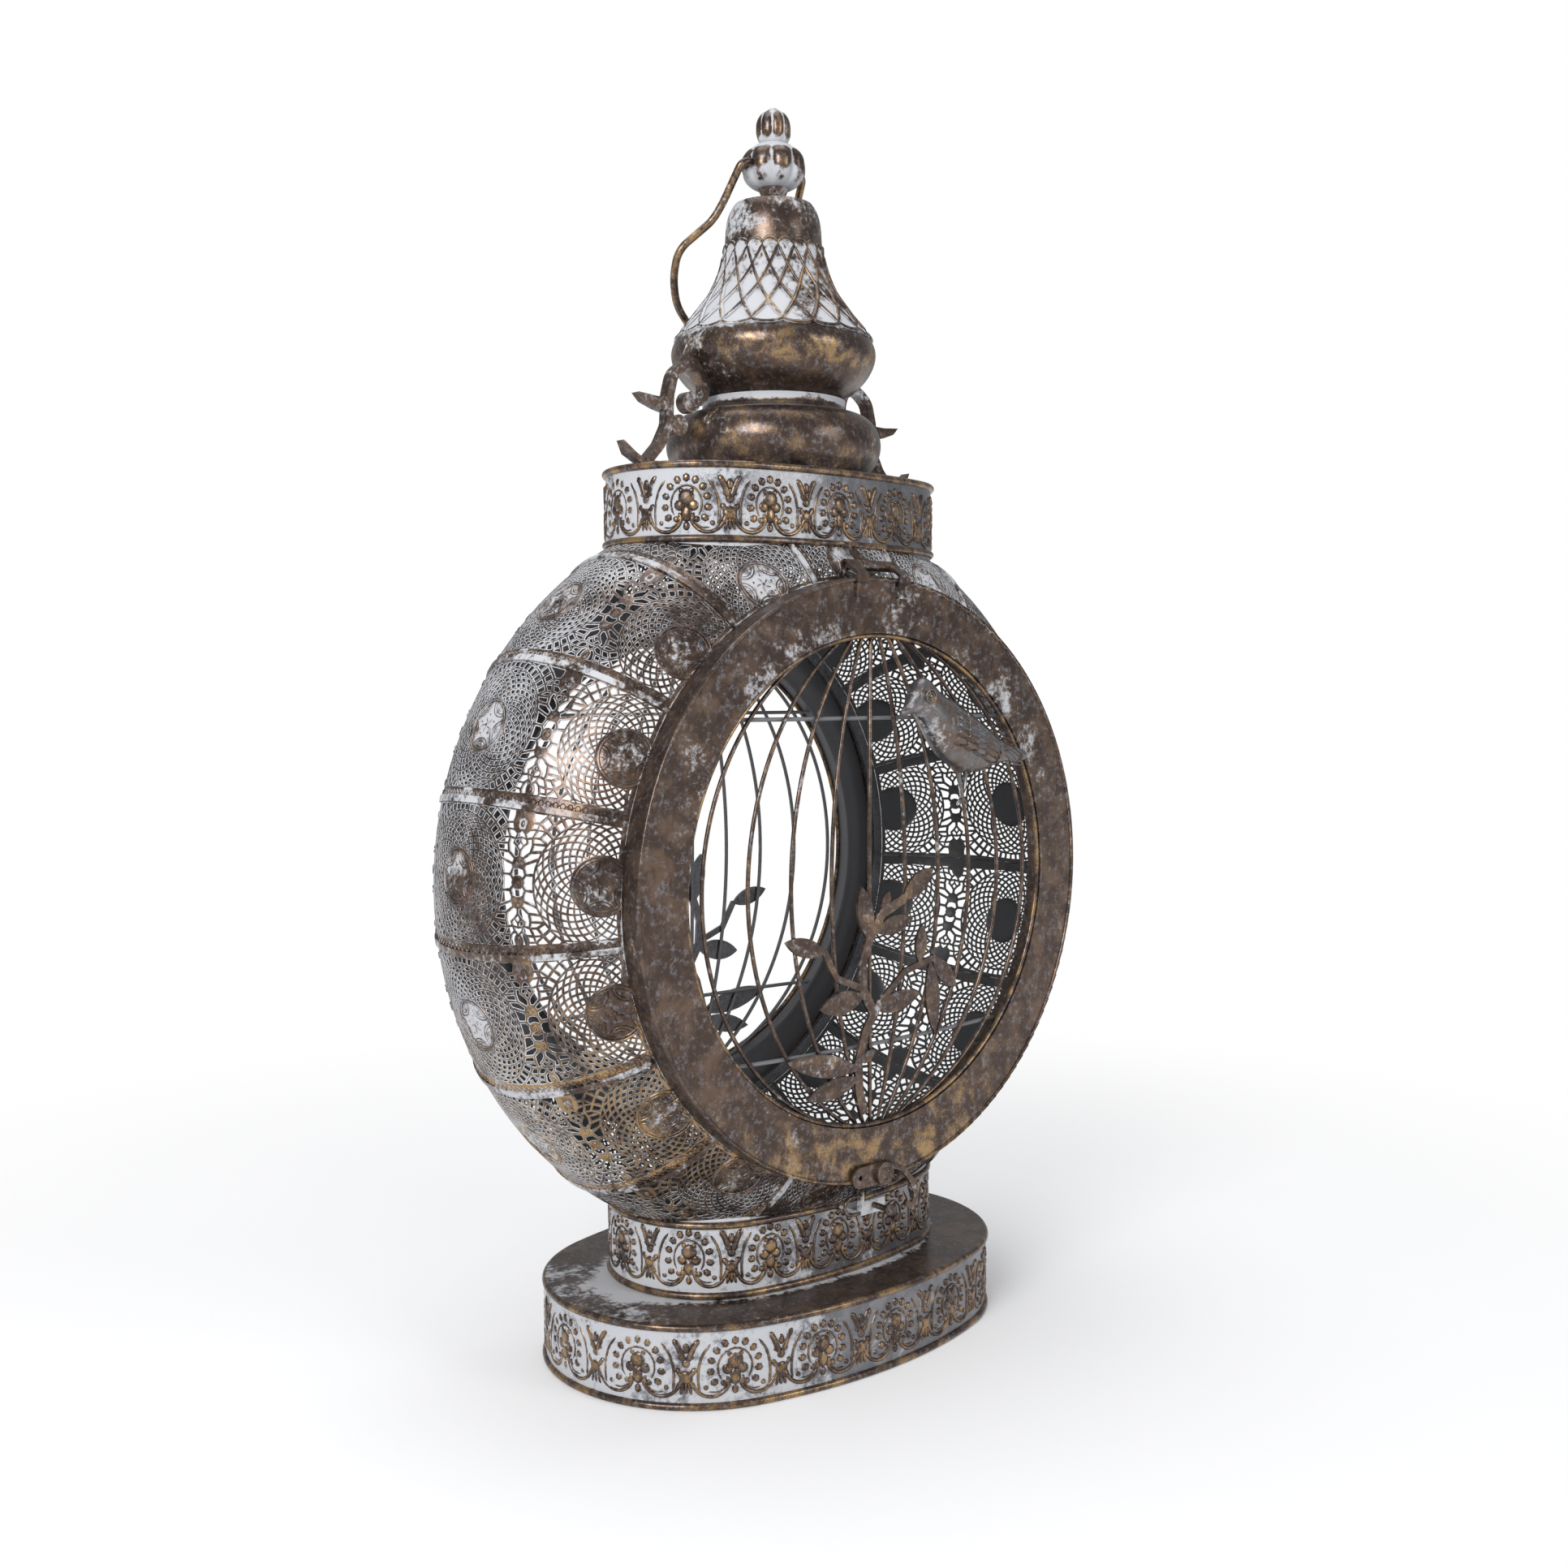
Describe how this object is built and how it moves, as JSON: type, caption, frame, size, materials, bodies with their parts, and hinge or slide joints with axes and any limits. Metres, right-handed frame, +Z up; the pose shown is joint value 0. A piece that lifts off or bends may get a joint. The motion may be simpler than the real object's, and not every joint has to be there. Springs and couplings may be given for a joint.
{
  "type": "candle lantern",
  "caption": "Round pierced-metal candle lantern on an oval base, with a hinged wire-cage door, a swinging latch hook, scroll brackets, a bell top and a wire bail.",
  "frame": {"origin": "centre of the base's underside, on the surface that the lantern stands on", "axes": "+Z up, the door faces -Y, +X to the right seen from the door side"},
  "size_m": [0.3369, 0.1653, 0.5598],
  "materials": {
    "pierced_sheet": "bronze paint under a rubbed whitewash, matt",
    "frieze_sheet": "stamped sheet, gold high parts over a whitewashed ground",
    "wire_and_beads": "antique bronze paint with rubbed gold edges",
    "bronze_sheet": "mottled brown bronze with gold rub and grey-white haze",
    "cast_ornament": "dark bronze cast metal with rubbed edges",
    "steel": "plain zinc-plated steel",
    "turned_sheet": "brown bronze with whitewash in the hollows"
  },
  "bodies": {
    "body": {"back_branch": "cast_ornament", "back_cross_wires": "wire_and_beads", "back_hoop": "wire_and_beads", "back_rim": "bronze_sheet", "back_ring": "bronze_sheet", "back_wires": "wire_and_beads", "base_band": "frieze_sheet", "base_beads": "wire_and_beads", "base_floor": "bronze_sheet", "base_top_plate": "bronze_sheet", "bell": "turned_sheet", "body_hinge_leaf": "cast_ornament", "bracket_left": "cast_ornament", "bracket_right": "cast_ornament", "bun": "turned_sheet", "candle_floor": "bronze_sheet", "collar_band": "frieze_sheet", "collar_beads": "wire_and_beads", "collar_top_plate": "bronze_sheet", "finial_bulb": "turned_sheet", "finial_foot": "turned_sheet", "finial_tip": "turned_sheet", "front_rim": "bronze_sheet", "hinge_pin": "steel", "neck_band": "frieze_sheet", "neck_beads": "wire_and_beads", "panel_01": "pierced_sheet", "panel_02": "pierced_sheet", "panel_03": "pierced_sheet", "panel_04": "pierced_sheet", "panel_05": "pierced_sheet", "panel_06": "pierced_sheet", "panel_07": "pierced_sheet", "panel_08": "pierced_sheet", "panel_09": "pierced_sheet", "panel_10": "pierced_sheet", "panel_11": "pierced_sheet", "panel_12": "pierced_sheet", "panel_13": "pierced_sheet", "panel_14": "pierced_sheet", "panel_15": "pierced_sheet", "panel_16": "pierced_sheet", "panel_17": "pierced_sheet", "seam_ribs": "pierced_sheet", "staple": "wire_and_beads", "strike_bracket": "cast_ornament", "strike_stud": "cast_ornament", "tie_nut": "steel", "tie_rod": "steel"},
    "door": {"door_ring": "bronze_sheet", "door_hoop": "wire_and_beads", "door_wires": "wire_and_beads", "door_cross_wires": "wire_and_beads", "door_branch": "cast_ornament", "bird": "cast_ornament", "door_hinge_leaves": "cast_ornament", "latch_plate": "cast_ornament", "latch_rivet": "cast_ornament"},
    "latch_hook": {"latch_hook": "cast_ornament"},
    "bail": {"bail": "wire_and_beads"}
  },
  "joints": [
    {"name": "door_hinge", "type": "hinge", "parent": "body", "child": "door", "pos_m": [0, -0.0635, 0.35076], "axis": [-1, 0, 0], "range_deg": [0, 110]},
    {"name": "latch_pivot", "type": "hinge", "parent": "door", "child": "latch_hook", "pos_m": [0, -0.07335, 0.08692], "axis": [0, 1, 0], "range_deg": [-120, 46]},
    {"name": "bail_swing", "type": "hinge", "parent": "body", "child": "bail", "pos_m": [0, 0, 0.53319], "axis": [1, 0, 0], "range_deg": [0, 298]}
  ]
}
